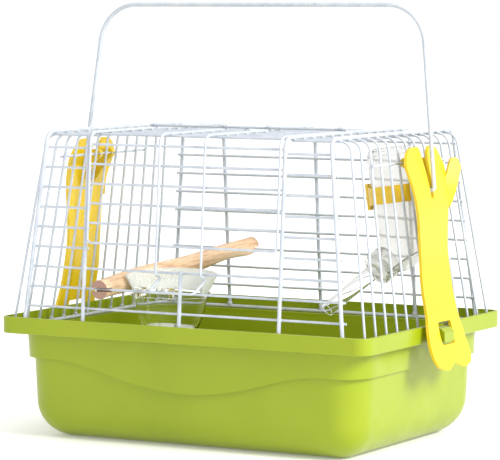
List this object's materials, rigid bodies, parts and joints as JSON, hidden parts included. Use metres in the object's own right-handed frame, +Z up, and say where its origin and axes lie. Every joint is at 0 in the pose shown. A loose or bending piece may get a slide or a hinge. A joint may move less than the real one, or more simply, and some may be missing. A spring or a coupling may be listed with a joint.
{
  "type": "portable bird carrier cage",
  "caption": "Portable bird cage with a moulded tray, a white wire top, a swing-up door, end latches, a bail handle, a wooden perch, a drinker and a feeder cup.",
  "frame": {"origin": "middle of the tray's flat underside", "axes": "+Z up, -Y towards the front with the door, +X towards the drinker end"},
  "size_m": [0.3316, 0.2274, 0.3157],
  "materials": {
    "green_plastic": "satin",
    "cage_wire": "gloss",
    "handle_wire": "gloss",
    "yellow_plastic": "satin",
    "clear_plastic": "clear, glossy",
    "frosted_plastic": "milky, glossy",
    "perch_wood": "bare"
  },
  "bodies": {
    "carrier": {"tray": "green_plastic", "base_frame": "cage_wire", "long_wires": "cage_wire", "long_wires_left": "cage_wire", "long_wires_right": "cage_wire", "arch_left": "cage_wire", "arch_right": "cage_wire", "door_arch_left": "cage_wire", "door_arch_right": "cage_wire", "back_upright": "cage_wire", "front_bars_left": "cage_wire", "front_bars_right": "cage_wire", "front_bars_full": "cage_wire", "back_bars": "cage_wire", "sill_post": "cage_wire", "end_hinge_left": "cage_wire", "end_hinge_right": "cage_wire", "door_hinge_wire": "cage_wire", "perch": "perch_wood", "bottle_body": "clear_plastic", "bottle_cap": "clear_plastic", "drinker_spout": "clear_plastic", "bottle_band": "yellow_plastic"},
    "door": {"door_frame": "cage_wire", "door_pull": "cage_wire", "door_front_bars": "cage_wire", "door_roof_bars": "cage_wire"},
    "latch_left": {"latch_left": "yellow_plastic"},
    "latch_right": {"latch_right": "yellow_plastic"},
    "handle": {"handle": "handle_wire"},
    "feeder": {"feeder_cup": "clear_plastic", "feeder_hood": "frosted_plastic"}
  },
  "joints": [
    {"name": "door_swing", "type": "hinge", "parent": "carrier", "child": "door", "pos_m": [0, -0.009, 0.22534], "axis": [-1, 0, 0], "range_deg": [0, 95]},
    {"name": "latch_right_open", "type": "hinge", "parent": "carrier", "child": "latch_right", "pos_m": [0.1281, 0, 0.203], "axis": [0, -1, 0], "range_deg": [0, 42]},
    {"name": "latch_left_open", "type": "hinge", "parent": "carrier", "child": "latch_left", "pos_m": [-0.1281, 0, 0.203], "axis": [0, 1, 0], "range_deg": [0, 42]},
    {"name": "handle_swing", "type": "hinge", "parent": "carrier", "child": "handle", "pos_m": [0, 0, 0.184], "axis": [1, 0, 0], "range_deg": [-48, 0]},
    {"name": "feeder_lift", "type": "slide", "parent": "carrier", "child": "feeder", "axis": [0, 0, 1], "range_m": [0, 0.008]}
  ]
}
